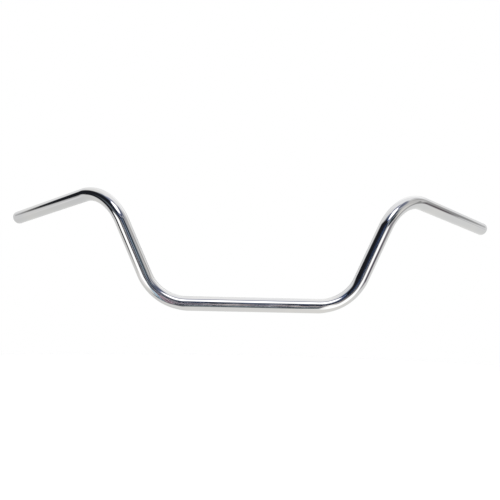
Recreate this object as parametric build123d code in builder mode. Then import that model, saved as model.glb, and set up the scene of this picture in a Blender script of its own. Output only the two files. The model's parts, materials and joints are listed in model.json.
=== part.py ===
from build123d import *

import os
from math import cos, radians, sin, tan

# A high-rise motorcycle handlebar: one steel tube, bent four times.
#
# Frame: origin at the middle of the clamp section, on the tube's axis. +X runs along the clamp section to
# the bar's +X grip, +Z is up along the rise, and +Y points back towards the rider, the way the grips sweep.
# The clamp section and both risers lie in the XZ plane.

# Tube
TUBE_DIAMETER = 22.2
WALL = 2.3
END_ROUND = 0.8  # outer edge of the cut end, deburred before plating
BORE_CHAMFER = 0.6  # inner edge of the cut end

# Bends, measured on the tube's centreline
BEND_RADIUS = 76.0
CLAMP_FLAT = 200.0  # straight length between the lower bends
RISER_ANGLE = 65.0  # riser above the clamp section's line, in degrees
RISE = 180.0  # height from the clamp section to the upper corner
OVERALL_WIDTH = 864.0  # between the centres of the two cut ends
SWEEP = 38.0  # grips turn back from the bar's line, seen from above, in degrees
DROOP = 6.0  # grips point below level, in degrees

TUBE_RADIUS = TUBE_DIAMETER / 2
BORE_RADIUS = TUBE_RADIUS - WALL

# Corners of the centreline on the +X side, where its straight runs would meet
LOWER_CORNER_X = CLAMP_FLAT / 2 + BEND_RADIUS * tan(radians(RISER_ANGLE / 2))
UPPER_CORNER_X = LOWER_CORNER_X + RISE / tan(radians(RISER_ANGLE))
GRIP_DIRECTION = Vector(
    cos(radians(DROOP)) * cos(radians(SWEEP)),
    cos(radians(DROOP)) * sin(radians(SWEEP)),
    -sin(radians(DROOP)),
)
GRIP_RUN = (OVERALL_WIDTH / 2 - UPPER_CORNER_X) / GRIP_DIRECTION.X

upper_corner = Vector(UPPER_CORNER_X, 0, RISE)
end_right = upper_corner + GRIP_DIRECTION * GRIP_RUN
right_corners = [Vector(LOWER_CORNER_X, 0, 0), upper_corner, end_right]
left_corners = [Vector(-p.X, p.Y, p.Z) for p in reversed(right_corners)]
corners = left_corners + right_corners
bend_count = len(corners) - 2

with BuildLine() as centreline:
    FilletPolyline(*corners, radius=[BEND_RADIUS] * bend_count)

end_plane = Plane(origin=centreline.line @ 0, z_dir=centreline.line % 0)

with BuildPart() as handlebar_tube:
    with BuildSketch(end_plane):
        Circle(TUBE_RADIUS)
        Circle(BORE_RADIUS, mode=Mode.SUBTRACT)
    sweep(path=centreline.line)

    # The two cut ends are the only flat faces
    end_circles = handlebar_tube.faces().filter_by(GeomType.PLANE).edges().filter_by(GeomType.CIRCLE)
    outer_circles = end_circles.filter_by(lambda e: e.radius > (TUBE_RADIUS + BORE_RADIUS) / 2)
    inner_circles = end_circles.filter_by(lambda e: e.radius < (TUBE_RADIUS + BORE_RADIUS) / 2)
    chamfer(inner_circles, length=BORE_CHAMFER)
    fillet(outer_circles, radius=END_ROUND)

handlebar_tube.part.label = "handlebar_tube"

os.makedirs("parts", exist_ok=True)
export_step(handlebar_tube.part, "parts/handlebar_tube.step")

print("centreline length", round(sum(e.length for e in centreline.edges()), 1))
print("end", end_right, "grip direction", GRIP_DIRECTION)
print("volume", round(handlebar_tube.part.volume), "box", handlebar_tube.part.bounding_box())
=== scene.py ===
"""Looks for the chromed high-rise handlebar: one bent steel tube, mirror plated, in a pale studio.

Metres, in the CAD frame: +X along the clamp section, +Z up, +Y back towards the rider.
"""

import json
import math

import bpy
from mathutils import Euler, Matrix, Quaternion, Vector


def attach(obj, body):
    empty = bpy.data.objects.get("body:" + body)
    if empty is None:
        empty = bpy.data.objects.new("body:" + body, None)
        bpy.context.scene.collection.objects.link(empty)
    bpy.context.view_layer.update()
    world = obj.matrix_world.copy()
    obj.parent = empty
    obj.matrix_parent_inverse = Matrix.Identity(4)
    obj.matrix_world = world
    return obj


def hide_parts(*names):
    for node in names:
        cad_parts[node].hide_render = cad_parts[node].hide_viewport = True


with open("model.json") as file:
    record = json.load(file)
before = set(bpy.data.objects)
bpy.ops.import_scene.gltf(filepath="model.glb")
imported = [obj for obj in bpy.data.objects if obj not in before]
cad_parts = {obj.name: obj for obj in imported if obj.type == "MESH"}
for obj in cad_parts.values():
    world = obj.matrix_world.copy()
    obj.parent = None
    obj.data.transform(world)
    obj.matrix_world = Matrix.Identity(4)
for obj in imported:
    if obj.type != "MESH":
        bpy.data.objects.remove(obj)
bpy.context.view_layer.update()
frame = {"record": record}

MM = 0.001

# ---------------------------------------------------------------- the tube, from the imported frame
mounts = {m["name"]: m for m in frame["record"]["mounts"]}
TUBE_RADIUS = mounts["clamp_zone"]["dims"]["r_mm"] * MM
BORE_RADIUS = mounts["bore_left"]["dims"]["r_mm"] * MM
CLAMP_FLAT = mounts["clamp_zone"]["dims"]["length_mm"] * MM
BEND_RADIUS = 76 * MM  # all four bends, on the centreline
RISER_ANGLE = math.radians(65)  # above the clamp section's line
END_ROUND = 0.8 * MM  # outer edge of the cut ends
BORE_CHAMFER = 0.6 * MM  # inner edge of the cut ends
HALF_LENGTH = 573 * MM  # half of the tube along its line, to the nearest millimetre

# Cold bending flattens a tube a little in the plane of the bend and widens it across
FLATTENED = 0.045
WIDENED = 0.022
FLATTEN_RAMP = 18 * MM  # the flattening comes and goes over this length

SIDES = 96  # vertices round the tube
ROUND_STEPS = 6
BEND_STEP = math.radians(1.5)
RUN_STEP = 8 * MM
STRAIGHT = 1e-6  # radians: two stations that turn by less lie on a straight run
SHARP_ANGLE = math.radians(30)  # edges that turn by more are shaded as edges


def tube_corners():
    """Corners of the centreline from the -X end to the +X end, the two ends included."""
    grip = mounts["grip_left"]
    middle, along = Vector(grip["pos_m"]), Vector(grip["axis"]).normalized()
    riser = Vector((math.cos(RISER_ANGLE), 0, math.sin(RISER_ANGLE)))
    lower = Vector((CLAMP_FLAT / 2 + BEND_RADIUS * math.tan(RISER_ANGLE / 2), 0, 0))
    upper = middle - along * (middle.y / along.y)
    inner_end = upper + along * (BEND_RADIUS * math.tan(riser.angle(along) / 2))
    right = [lower, upper, 2 * middle - inner_end]
    return [Vector((-p.x, p.y, p.z)) for p in reversed(right)] + right


class Station:
    """One cross-section: where it is, which way the tube runs, and how the bend flattens it."""

    def __init__(self, place, along, inward=None):
        self.place, self.along, self.inward = place, along, inward
        self.run = 0.0  # length of tube before it
        self.flat = 0.0  # 0 round, 1 flattened in full


def run_stations(start, end):
    steps = max(2, math.ceil((end - start).length / RUN_STEP))
    along = (end - start).normalized()
    return [Station(start.lerp(end, i / steps), along) for i in range(1, steps)]


def bend_stations(before, corner, after):
    """Stations round the arc at a corner, both tangent points included."""
    u, w = (corner - before).normalized(), (after - corner).normalized()
    turn = u.angle(w)
    start = corner - u * (BEND_RADIUS * math.tan(turn / 2))
    side = (w - u * u.dot(w)).normalized()
    centre = start + side * BEND_RADIUS
    steps = math.ceil(turn / BEND_STEP)
    made = []
    for i in range(steps + 1):
        a = turn * i / steps
        inward = side * math.cos(a) - u * math.sin(a)
        made.append(Station(centre - inward * BEND_RADIUS, u * math.cos(a) + side * math.sin(a), inward))
    length = BEND_RADIUS * turn
    for i, s in enumerate(made):
        from_end = min(i, steps - i) / steps * length
        t = min(1.0, from_end / FLATTEN_RAMP)
        s.flat = t * t * (3 - 2 * t)
    return made


def tube_stations():
    corners = tube_corners()
    bends = [bend_stations(*corners[i - 1 : i + 2]) for i in range(1, len(corners) - 1)]
    first, last = corners[0], corners[-1]
    made = [Station(first, (corners[1] - first).normalized())]
    for bend in bends:
        made += run_stations(made[-1].place, bend[0].place) + bend
    made += run_stations(made[-1].place, last)
    made.append(Station(last, (last - corners[-2]).normalized()))
    for before, s in zip(made, made[1:]):
        step = (s.place - before.place).length
        half_turn = before.along.angle(s.along) / 2
        s.run = before.run + (step * half_turn / math.sin(half_turn) if half_turn > STRAIGHT else step)
    return made


def carry_frames(stations):
    """Gives each station a pair of directions across the tube, carried along it with no twist."""
    first = stations[0]
    across = Vector((0, 0, 1)) - first.along * first.along.z
    first.across = across.normalized()
    for before, s in zip(stations, stations[1:]):
        turn = before.along.rotation_difference(s.along)
        s.across = (turn @ before.across).normalized()
    for s in stations:
        s.up = s.along.cross(s.across)


class Rings:
    """Rings of vertices joined into one closed surface, with each one's place on the unbent tube."""

    def __init__(self, middle_run):
        self.places, self.unbent, self.kinds, self.middle = [], [], [], middle_run

    def add(self, station, radius, kind, back=0.0):
        """A ring at a station, moved back from it along the tube.

        kind names the surface from this ring to the next.
        """
        for k in range(SIDES):
            a = 2 * math.pi * k / SIDES
            out = station.across * math.cos(a) + station.up * math.sin(a)
            r = radius
            if station.flat:
                across_bend = 2 * out.dot(station.inward) ** 2 - 1  # cos of twice the angle from inward
                mean, half = (WIDENED - FLATTENED) / 2, (WIDENED + FLATTENED) / 2
                r = radius * (1 + station.flat * (mean - half * across_bend))
            self.places.append(station.place - station.along * back + out * r)
            x = station.run - back - self.middle
            self.unbent.append((x, r * math.cos(a), r * math.sin(a)))
        self.kinds.append(kind)

    def faces(self):
        count = len(self.kinds)
        made, kinds = [], []
        for ring in range(count):
            here, there = ring * SIDES, (ring + 1) % count * SIDES
            for k in range(SIDES):
                n = (k + 1) % SIDES
                made.append((here + k, here + n, there + n, there + k))
                kinds.append(self.kinds[ring])
        return made, kinds


def end_rings(rings, station, sign):
    """The cut end: rounded outer edge, flat ring and bore chamfer. sign is +1 at the +X end, else -1."""
    profile = []  # radius, and depth below the cut
    for i in range(ROUND_STEPS + 1):
        a = math.pi / 2 * i / ROUND_STEPS
        profile.append((TUBE_RADIUS - END_ROUND * (1 - math.cos(a)), END_ROUND * (1 - math.sin(a))))
    profile.append((BORE_RADIUS + BORE_CHAMFER, 0.0))
    profile.append((BORE_RADIUS, BORE_CHAMFER))
    if sign < 0:
        profile.reverse()
    for radius, depth in profile:
        rings.add(station, radius, "chrome", depth * sign)


def make_tube():
    stations = tube_stations()
    carry_frames(stations)
    rings = Rings(stations[-1].run / 2)
    end_rings(rings, stations[0], -1)
    for s in stations[1:-1]:
        rings.add(s, TUBE_RADIUS, "chrome")
    end_rings(rings, stations[-1], +1)
    for s in reversed(stations[1:-1]):
        rings.add(s, BORE_RADIUS, "bore")
    faces, kinds = rings.faces()

    mesh = bpy.data.meshes.new("chromed_tube")
    mesh.from_pydata([tuple(p) for p in rings.places], [], faces)
    for material in (chrome_material(), bore_material()):
        mesh.materials.append(material)
    order = ("chrome", "bore")
    for polygon, kind in zip(mesh.polygons, kinds):
        polygon.material_index = order.index(kind)
        polygon.use_smooth = True
    mesh.attributes.new("unbent", "FLOAT_VECTOR", "POINT")
    mesh.attributes["unbent"].data.foreach_set("vector", [c for p in rings.unbent for c in p])
    mesh.set_sharp_from_angle(angle=SHARP_ANGLE)
    mesh.validate()
    tube = bpy.data.objects.new("chromed_tube", mesh)
    bpy.context.scene.collection.objects.link(tube)
    return tube


# ---------------------------------------------------------------- node helpers
class Nodes:
    """Adds nodes to a tree. An input is given as a value or as the output socket that feeds it."""

    def __init__(self, tree):
        self.tree = tree
        tree.nodes.clear()

    def add(self, kind, inputs=None, **settings):
        node = self.tree.nodes.new("ShaderNode" + kind)
        for name, value in settings.items():
            setattr(node, name, value)
        for name, value in (inputs or {}).items():
            self.feed(node.inputs[name], value)
        return node

    def feed(self, socket, value):
        if isinstance(value, bpy.types.NodeSocket):
            self.tree.links.new(value, socket)
        else:
            socket.default_value = value

    def math(self, operation, *values):
        return self.add("Math", dict(enumerate(values)), operation=operation).outputs[0]

    def dot(self, vector, direction):
        node = self.add("VectorMath", {0: vector, 1: tuple(direction)}, operation="DOT_PRODUCT")
        return node.outputs["Value"]

    def stretch(self, vector, scale):
        node = self.add("VectorMath", {0: vector, 1: scale}, operation="MULTIPLY")
        return node.outputs[0]

    def noise(self, vector, scale, detail, roughness=0.5):
        inputs = {"Vector": vector, "Scale": scale, "Detail": detail, "Roughness": roughness}
        return self.add("TexNoise", inputs).outputs["Fac"]

    def ramp(self, value, low, high, to_low=0.0, to_high=1.0):
        """value from low to high, smoothly, as to_low to to_high."""
        inputs = {"Value": value, "From Min": low, "From Max": high, "To Min": to_low, "To Max": to_high}
        return self.add("MapRange", inputs, interpolation_type="SMOOTHSTEP").outputs["Result"]

    def mix(self, factor, a, b):
        node = self.add("Mix", data_type="RGBA")
        self.feed(node.inputs[0], factor)
        self.feed(node.inputs[6], a)
        self.feed(node.inputs[7], b)
        return node.outputs[2]

    def bump(self, height, distance, normal=None):
        """The normal of a surface raised by distance metres where height is 1."""
        node = self.add("Bump", {"Height": height, "Distance": distance, "Strength": 1.0})
        if normal is not None:
            self.feed(node.inputs["Normal"], normal)
        return node.outputs["Normal"]

    def surface(self, shader, output="OutputMaterial"):
        """Makes shader the look of the material or the world."""
        self.feed(self.add(output).inputs["Surface"], shader.outputs[0])

    def metal(self, colour, rough, normal):
        inputs = {"Base Color": colour, "Metallic": 1.0, "Roughness": rough, "Normal": normal}
        return self.add("BsdfPrincipled", inputs)


def grey(value, red=1.0, green=1.0, blue=1.0):
    return (value * red, value * green, value * blue, 1.0)


# ---------------------------------------------------------------- materials
def new_material(name):
    material = bpy.data.materials.new(name)
    material.use_nodes = True
    return material, Nodes(material.node_tree)


# roughness of clean chrome, and what the polishing lines, the haze and the scratches add to it
CHROME_ROUGHNESS, LINE_ROUGHNESS, HAZE_ROUGHNESS, SCRATCH_ROUGHNESS = 0.028, 0.02, 0.03, 0.12
SCRATCH_LOW, SCRATCH_HIGH = 0.735, 0.76  # noise where a scratch begins and is full
WAVE_HEIGHT, LINE_HEIGHT, SCRATCH_DEPTH = 0.02 * MM, 0.0002 * MM, 0.001 * MM


def chrome_material():
    """Bright chrome on polished steel.

    Its marks lie along and round the tube, so they are made on it unbent. Scales of noise are per metre.
    """
    material, n = new_material("bright_chrome")
    unbent = n.add("Attribute", attribute_name="unbent").outputs["Vector"]

    # colour: large areas a trace bluer or yellower, as the plating's thickness changes
    cloud = n.noise(unbent, 14, detail=3)
    bluish, yellowish = grey(0.655, 0.995, 1.0, 1.01), grey(0.685, 1.005, 1.0, 0.985)
    tint = n.mix(n.ramp(cloud, 0.35, 0.65), bluish, yellowish)

    # finish: polishing lines round the tube, faint handling haze and a few hairline scratches along it
    lines = n.noise(n.stretch(unbent, (2600, 60, 60)), 1, detail=2)
    haze = n.noise(unbent, 55, detail=4, roughness=0.6)
    scratch_field = n.noise(n.stretch(unbent, (35, 900, 900)), 1, detail=1)
    scratches = n.ramp(scratch_field, SCRATCH_LOW, SCRATCH_HIGH)
    rough = n.math("MULTIPLY_ADD", lines, LINE_ROUGHNESS, CHROME_ROUGHNESS)
    rough = n.math("ADD", rough, n.ramp(haze, 0.5, 0.8, 0.0, HAZE_ROUGHNESS))
    rough = n.math("MULTIPLY_ADD", scratches, SCRATCH_ROUGHNESS, rough)

    # shape too fine for the mesh: the polisher's slow waves, fine lines and scratches
    waves = n.noise(n.stretch(unbent, (60, 95, 95)), 1, detail=1)
    normal = n.bump(waves, WAVE_HEIGHT)
    normal = n.bump(lines, LINE_HEIGHT, normal)
    normal = n.bump(scratches, -SCRATCH_DEPTH, normal)

    n.surface(n.metal(tint, rough, normal))
    return material


PLATED_TO, BARE_FROM = 12 * MM, 40 * MM  # depth in the bore where the plating thins out
PATCHES = 20 * MM  # how far the patches at its edge reach
PLATED_ROUGHNESS, BARE_ROUGHNESS, DRAWN_ROUGHNESS = 0.22, 0.42, 0.16
DRAWN_HEIGHT = 0.02 * MM


def bore_material():
    """Inside of the tube: the plating thins out past the mouth into dull drawn steel."""
    material, n = new_material("drawn_steel")
    unbent = n.add("Attribute", attribute_name="unbent").outputs["Vector"]
    parts = n.add("SeparateXYZ", {"Vector": unbent}).outputs
    depth = n.math("SUBTRACT", HALF_LENGTH, n.math("ABSOLUTE", parts["X"]))
    patchy = n.noise(unbent, 180, detail=4)
    reach = n.math("MULTIPLY_ADD", patchy, PATCHES, depth)
    bare = n.ramp(reach, PLATED_TO, BARE_FROM)
    stain = n.noise(unbent, 420, detail=5, roughness=0.65)
    plated, clean, brown = grey(0.5), grey(0.19, 1.0, 0.97, 0.93), grey(0.11, 1.1, 0.96, 0.85)
    steel = n.mix(n.ramp(stain, 0.4, 0.65), clean, brown)
    colour = n.mix(bare, plated, steel)
    drawn = n.noise(n.stretch(unbent, (40, 2200, 2200)), 1, detail=3)
    even = n.ramp(bare, 0, 1, PLATED_ROUGHNESS, BARE_ROUGHNESS)
    rough = n.math("ADD", even, n.math("MULTIPLY", drawn, DRAWN_ROUGHNESS))
    n.surface(n.metal(colour, rough, n.bump(drawn, DRAWN_HEIGHT)))
    return material


def floor_material():
    """Matt and nearly white, so that it meets the white round it with no line between them."""
    material, n = new_material("studio_floor")
    place = n.add("NewGeometry").outputs["Position"]
    tone = n.mix(n.noise(place, 1.5, detail=2), grey(0.97), grey(0.985))
    n.surface(n.add("BsdfPrincipled", {"Base Color": tone, "Roughness": 0.9}))
    return material


# ---------------------------------------------------------------- the studio that the chrome mirrors
CHROME_REFLECTANCE = 0.66
GAMMA = 2.2
STREAK_LOW, STREAK_HIGH = 0.46, 0.54  # noise where a panel's first light gives way to its second
STREAK_STRETCH = 5  # a streak is this many times taller than wide
GLINT_SCALE = (95, 95, 14)  # of the noise that scatters them, low upwards, so that they stand upright
GLINT_LOW, GLINT_HIGH = 0.6, 0.68
HORIZON_BLEND = 0.42  # sine of the elevation where the floor's glow has become the ceiling's


def shown(red, green=None, blue=None):
    """The light that chrome facing it shows as this display colour, each channel from 0 to 255."""
    channels = (red, red if green is None else green, red if blue is None else blue)
    return tuple((c / 255) ** GAMMA / CHROME_REFLECTANCE for c in channels) + (1.0,)


class Panel:
    """A soft-edged area of the studio round the bar, in degrees as seen from the bar.

    Azimuth 0 is towards the camera (-Y) and grows towards +X; elevation is above level; width and height
    are half sizes; roll lifts its right side. soft is its edge as a share of its size, square its shape
    (2 is an ellipse), cover the share of what lies behind it that it hides. With a second light, the two
    are scattered over it in upright streaks, like clutter seen small in a mirror. A larger grain is finer.
    """

    def __init__(self, azimuth, elevation, width, height, light, roll=0, soft=0.4, square=2.5, cover=1.0,
                 second=None, grain=26):
        self.azimuth, self.elevation = math.radians(azimuth), math.radians(elevation)
        self.width, self.height = math.radians(width), math.radians(height)
        self.light, self.second, self.roll = light, second, math.radians(roll)
        self.soft, self.square, self.cover, self.grain = soft, square, cover, grain

    def axes(self):
        """Unit vectors to its middle, its right and its top."""
        a, e = self.azimuth, self.elevation
        middle = Vector((math.sin(a) * math.cos(e), -math.cos(a) * math.cos(e), math.sin(e)))
        right = Vector((math.cos(a), math.sin(a), 0))
        top = Vector((-math.sin(a) * math.sin(e), math.cos(a) * math.sin(e), math.cos(e)))
        turn = Quaternion(middle, self.roll)
        return middle, turn @ right, turn @ top

    def inside(self, n, direction):
        """The socket that is its cover inside the panel and 0 outside."""
        middle, right, top = self.axes()
        x = n.math("ARCTAN2", n.dot(direction, right), n.dot(direction, middle))
        y = n.math("ARCSINE", n.dot(direction, top))
        x = n.math("POWER", n.math("ABSOLUTE", n.math("DIVIDE", x, self.width)), self.square)
        y = n.math("POWER", n.math("ABSOLUTE", n.math("DIVIDE", y, self.height)), self.square)
        reach = n.math("POWER", n.math("ADD", x, y), 1 / self.square)
        return n.ramp(reach, 1 + self.soft, 1 - self.soft, 0.0, self.cover)

    def glow(self, n, direction):
        """Its colour, evenly lit or streaked."""
        if self.second is None:
            return self.light
        upright = (self.grain, self.grain, self.grain / STREAK_STRETCH)
        streaks = n.noise(n.stretch(direction, upright), 1, detail=2)
        return n.mix(n.ramp(streaks, STREAK_LOW, STREAK_HIGH), self.light, self.second)


class Glints(Panel):
    """A panel seen only in small scattered spots."""

    def inside(self, n, direction):
        spots = n.ramp(n.noise(n.stretch(direction, GLINT_SCALE), 1, detail=2), GLINT_LOW, GLINT_HIGH)
        return n.math("MULTIPLY", super().inside(n, direction), spots)


FLOOR_GLOW = shown(207, 206, 204)
CEILING_GLOW = shown(222, 222, 223)
PANELS = {
    "back": Panel(180, 10, 65, 28, shown(193), soft=0.5),
    "rear_room": Panel(180, 2, 68, 11, shown(62, 64, 70), soft=0.15, square=5, second=shown(96, 92, 90)),
    "rear_window": Panel(156, 44, 20, 9, shown(238), soft=0.3, square=4),
    "left_table": Panel(-136, -25, 42, 30, shown(194, 194, 193), soft=0.2),
    "right_table": Panel(136, -25, 42, 30, shown(202, 202, 201), soft=0.2),
    "right_wall": Panel(79, 18, 30, 26, shown(180, 179, 178), soft=0.15, square=4),
    "wall_light": Panel(68, 3, 11, 9, shown(205, 203, 199), soft=0.6, square=2),
    "wall_top": Panel(94, 33, 16, 1.8, shown(110), roll=-27, soft=0.6, square=2),
    "wall_corner": Panel(86.5, 5, 2, 11, shown(128), soft=0.6, square=2),
    "wall_shade": Panel(97.5, 8, 5, 20, shown(136), roll=-36, soft=0.5, square=2),
    "right_out": Panel(112.5, 1, 14, 22, shown(203), roll=-38, soft=0.15, square=4),
    "wall_line": Panel(93, -1, 1.6, 8, shown(85, 76, 82), roll=-12, soft=0.5, square=2),
    "wall_foot": Panel(84, -8, 13, 3, shown(145), soft=0.5, square=2),
    "room": Panel(-56, 23.5, 48, 37, shown(32, 33, 37), soft=0.08, square=5),
    "room_corner": Panel(-100, 59.5, 28, 15, shown(210), roll=38, soft=0.4),
    "room_blue": Panel(-40, 58, 18, 6, shown(80, 92, 118), soft=0.5, square=2, cover=0.9),
    "room_haze": Panel(-48, 10, 20, 6, shown(104, 112, 120), soft=0.7, square=2, cover=0.7),
    "room_glint": Panel(-17.5, 42, 6.5, 3, shown(110, 133, 165), roll=-45, soft=0.5, square=2, cover=0.8),
    "room_right": Panel(-20, 24, 13, 4, shown(30, 34, 42), roll=-24, soft=0.5, square=2,
                        second=shown(60, 70, 92)),
    "left_out": Panel(-110, 2, 14, 26, shown(196), roll=34, soft=0.15, square=4),
    "right_column": Panel(53, 50, 12, 16, shown(108, 112, 128), roll=-12, soft=0.4),
    "right_dark": Panel(28, 24, 20, 7, shown(44, 50, 58), roll=10, soft=0.3, square=3,
                        second=shown(96, 108, 118)),
    "right_dark_low": Panel(36.5, 10, 19.5, 7, shown(40, 46, 52), roll=-6, soft=0.3, square=3),
    "right_upper": Panel(27, 41, 7, 18, shown(82, 88, 106), roll=-32, soft=0.4),
    "right_line": Panel(32, 29, 9, 4, shown(36, 40, 50), roll=30, soft=0.6, square=2, cover=0.9),
    "low_left": Panel(-44.5, -11.5, 18.5, 13.5, shown(258), roll=6, soft=0.13, square=3),
    "low_left_far": Panel(-76, -24, 18, 7, shown(216, 214, 216), roll=10, soft=0.4, square=2),
    "low_right": Panel(34, -29, 20, 27, shown(258), soft=0.12, square=3.5),
    "low_right_top": Panel(28, -6.2, 20, 9.8, shown(258), roll=-18.5, soft=0.15, square=4),
    "table_shade": Panel(62, -21, 10, 7, shown(140), roll=-10, soft=0.6, square=2, cover=0.6),
    "wall_high": Panel(90, 48, 18, 8, shown(166), soft=0.6, square=2, cover=0.6),
    "strip_shade": Panel(64, -12, 17, 10, shown(126, 122, 128), roll=-10, soft=0.5, square=2),
    "strip": Panel(64, -12, 17, 3.4, shown(84, 78, 88), roll=-16, soft=0.5, square=2),
    "strip_end": Panel(50, -4, 7, 3, shown(112, 106, 114), roll=-25, soft=0.6, square=2, cover=0.7),
    "strip_far": Panel(84, -12, 8, 3, shown(132), soft=0.6, square=2, cover=0.6),
    "eye": Panel(16.5, -2, 4, 8, shown(84), roll=20, soft=0.5),
    "right_specks": Panel(13, 17, 8, 5, shown(84, 92, 100), roll=20, soft=0.4, square=2, cover=0.7,
                          second=shown(170, 190, 206), grain=22),
    "table_line": Panel(16.5, -9, 3, 13, shown(124, 118, 118), roll=24, soft=0.6, square=2, cover=0.85),
    "front_foot": Panel(-42, -49, 27, 9, shown(88, 96, 102), soft=0.4, second=shown(120, 124, 128)),
    "front_blue": Panel(-29, -22, 6, 34, shown(66, 82, 96), roll=-36, soft=0.5, square=3,
                        second=shown(172, 200, 216), grain=17),
    "front_brown": Panel(-19, -22, 7, 33, shown(40, 30, 36), roll=-27, soft=0.4, square=3,
                         second=shown(172, 148, 160), grain=15),
    "front_green": Panel(-9, -24, 6, 34, shown(26, 32, 38), roll=-14, soft=0.3, square=3,
                         second=shown(98, 90, 98), grain=18),
    "front_mid": Panel(0.7, -18.5, 8.3, 29, shown(26, 34, 40), roll=3, soft=0.08, square=4,
                       second=shown(118, 126, 130), grain=18),
    "front_band": Panel(-1, -9, 10, 7, shown(184, 170, 168), soft=0.3, square=4,
                        second=shown(108, 98, 112)),
    "front_top": Panel(1, 8, 13, 7, shown(54, 62, 72), soft=0.3, square=3, second=shown(150, 146, 148)),
    "front_shade": Panel(-14, 3, 7, 5, shown(58, 54, 60), roll=-25, soft=0.4),
    "front_low": Panel(-2, -44.5, 13, 4.5, shown(96, 102, 106), soft=0.5, square=3),
    "front_gap": Panel(8, 12, 2.6, 14, shown(6, 12, 32), soft=0.4, square=3),
    "navy": Panel(-3, 19, 13, 7, shown(12, 18, 30), soft=0.25, square=3, second=shown(64, 78, 108)),
    "glints": Glints(-8, -12, 20, 26, shown(235, 242, 255), soft=0.3),
    "window_rim": Panel(4.5, 47.5, 17, 16.5, shown(104, 116, 158), roll=6, soft=0.12, square=2),
    "window": Panel(4.5, 48.5, 14.5, 14.5, shown(290), roll=6, soft=0.12, square=2),
    "window_sill": Panel(9, 32, 9, 3, shown(44, 52, 84), roll=14, soft=0.4),
    "window_top": Panel(2, 70, 15, 7, shown(134, 136, 156), soft=0.3),
}


def mirrored_light(n):
    """What the chrome mirrors: a pale floor and ceiling, and the panels over them in their order."""
    direction = n.add("TexCoord").outputs["Generated"]
    height = n.add("SeparateXYZ", {"Vector": direction}).outputs["Z"]
    light = n.mix(n.ramp(height, -HORIZON_BLEND, HORIZON_BLEND), FLOOR_GLOW, CEILING_GLOW)
    for panel in PANELS.values():
        light = n.mix(panel.inside(n, direction), light, panel.glow(n, direction))
    return light


def make_world():
    """Plain white all round, except in the chrome's reflections."""
    world = bpy.data.worlds.new("studio")
    world.use_nodes = True
    n = Nodes(world.node_tree)
    plain = n.add("Background", {"Color": grey(1.0)})
    studio = n.add("Background", {"Color": mirrored_light(n)})
    in_chrome = n.add("LightPath").outputs["Is Glossy Ray"]
    either = n.add("MixShader", {0: in_chrome, 1: plain.outputs[0], 2: studio.outputs[0]})
    n.surface(either, "OutputWorld")
    world.cycles.sampling_method = "NONE"
    bpy.context.scene.world = world


def make_floor():
    """A wide pale floor well below the bar."""
    radius, level, count = 9.0, -0.75, 96
    angles = [2 * math.pi * k / count for k in range(count)]
    points = [(radius * math.cos(a), radius * math.sin(a), level) for a in angles]
    mesh = bpy.data.meshes.new("floor")
    mesh.from_pydata(points, [], [tuple(range(count))])
    mesh.materials.append(floor_material())
    floor = bpy.data.objects.new("floor", mesh)
    floor.visible_glossy = False
    bpy.context.scene.collection.objects.link(floor)


def make_ceiling_light():
    """A wide soft lamp above the bar, left out of what the chrome mirrors."""
    diameter, watts, place = 5.0, 220.0, (0, 0.3, 3.2)
    light = bpy.data.lights.new("ceiling_light", "AREA")
    light.shape, light.size, light.energy = "DISK", diameter, watts
    lamp = bpy.data.objects.new("ceiling_light", light)
    lamp.location = place
    lamp.visible_glossy = False
    bpy.context.scene.collection.objects.link(lamp)


def make_camera():
    """In front of the bar, level with its clamp section and looking up a little."""
    film, lens = 36.0, 38.92  # mm
    place, turn = (-0.0235, -0.8397, -0.0131), (96.683, -1.231, -1.334)  # metres and degrees
    data = bpy.data.cameras.new("camera")
    data.sensor_width, data.lens = film, lens
    data.clip_start, data.clip_end = 0.05, 60
    camera = bpy.data.objects.new("camera", data)
    camera.location = place
    camera.rotation_euler = Euler([math.radians(a) for a in turn])
    bpy.context.scene.collection.objects.link(camera)
    bpy.context.scene.camera = camera


tube = make_tube()
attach(tube, "root")
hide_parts("handlebar_tube")

make_world()
make_floor()
make_ceiling_light()
make_camera()
bpy.context.scene.view_settings.view_transform = "Standard"
